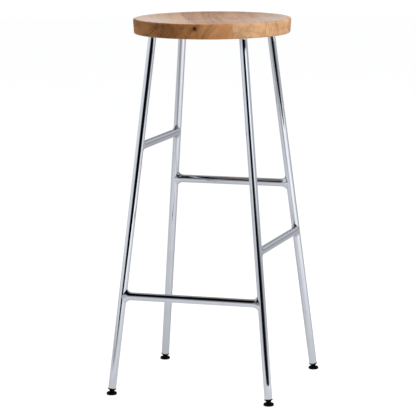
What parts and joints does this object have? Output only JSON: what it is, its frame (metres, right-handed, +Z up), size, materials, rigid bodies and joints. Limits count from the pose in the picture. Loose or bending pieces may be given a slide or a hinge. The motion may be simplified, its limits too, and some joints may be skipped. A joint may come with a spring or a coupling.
{
  "type": "bar stool with footrest",
  "caption": "Bar stool with a round dished wooden seat on splayed chromed tube legs joined by footrest rungs at stepped heights, on black tilting glides.",
  "frame": {"origin": "on the floor, under the middle of the seat", "axes": "+Z up; the front, with the lowest rung, faces -Y; +X to the right as seen from the front"},
  "size_m": [0.351, 0.351, 0.75],
  "materials": {
    "oak": "clear matt lacquer on oak",
    "chrome_frame": "mirror-bright chrome plate",
    "black_plastic": "glossy moulded black",
    "zinc_screw": "zinc plated"
  },
  "bodies": {
    "frame": {"seat_stave_1": "oak", "seat_stave_2": "oak", "seat_stave_3": "oak", "seat_stave_4": "oak", "seat_stave_5": "oak", "mounting_cross": "chrome_frame", "screw_back_right_inner": "zinc_screw", "screw_back_right_outer": "zinc_screw", "screw_back_left_inner": "zinc_screw", "screw_back_left_outer": "zinc_screw", "screw_front_left_inner": "zinc_screw", "screw_front_left_outer": "zinc_screw", "screw_front_right_inner": "zinc_screw", "screw_front_right_outer": "zinc_screw", "leg_back_right": "chrome_frame", "leg_back_left": "chrome_frame", "leg_front_left": "chrome_frame", "leg_front_right": "chrome_frame", "rung_front": "chrome_frame", "rung_right": "chrome_frame", "rung_back": "chrome_frame", "rung_left": "chrome_frame", "glide_insert_back_right": "black_plastic", "glide_insert_back_left": "black_plastic", "glide_insert_front_left": "black_plastic", "glide_insert_front_right": "black_plastic"},
    "pad_back_right": {"glide_pad_back_right": "black_plastic"},
    "pad_back_left": {"glide_pad_back_left": "black_plastic"},
    "pad_front_left": {"glide_pad_front_left": "black_plastic"},
    "pad_front_right": {"glide_pad_front_right": "black_plastic"}
  },
  "joints": [
    {"name": "pad_back_right_tilt", "type": "hinge", "parent": "frame", "child": "pad_back_right", "pos_m": [0.16499, 0.16499, 0.0051], "axis": [-0.7071, 0.7071, 0], "range_deg": [-22.99, 7.01]},
    {"name": "pad_back_left_tilt", "type": "hinge", "parent": "frame", "child": "pad_back_left", "pos_m": [-0.16499, 0.16499, 0.0051], "axis": [-0.7071, -0.7071, 0], "range_deg": [-22.99, 7.01]},
    {"name": "pad_front_left_tilt", "type": "hinge", "parent": "frame", "child": "pad_front_left", "pos_m": [-0.16499, -0.16499, 0.0051], "axis": [0.7071, -0.7071, 0], "range_deg": [-22.99, 7.01]},
    {"name": "pad_front_right_tilt", "type": "hinge", "parent": "frame", "child": "pad_front_right", "pos_m": [0.16499, -0.16499, 0.0051], "axis": [0.7071, 0.7071, 0], "range_deg": [-22.99, 7.01]}
  ]
}
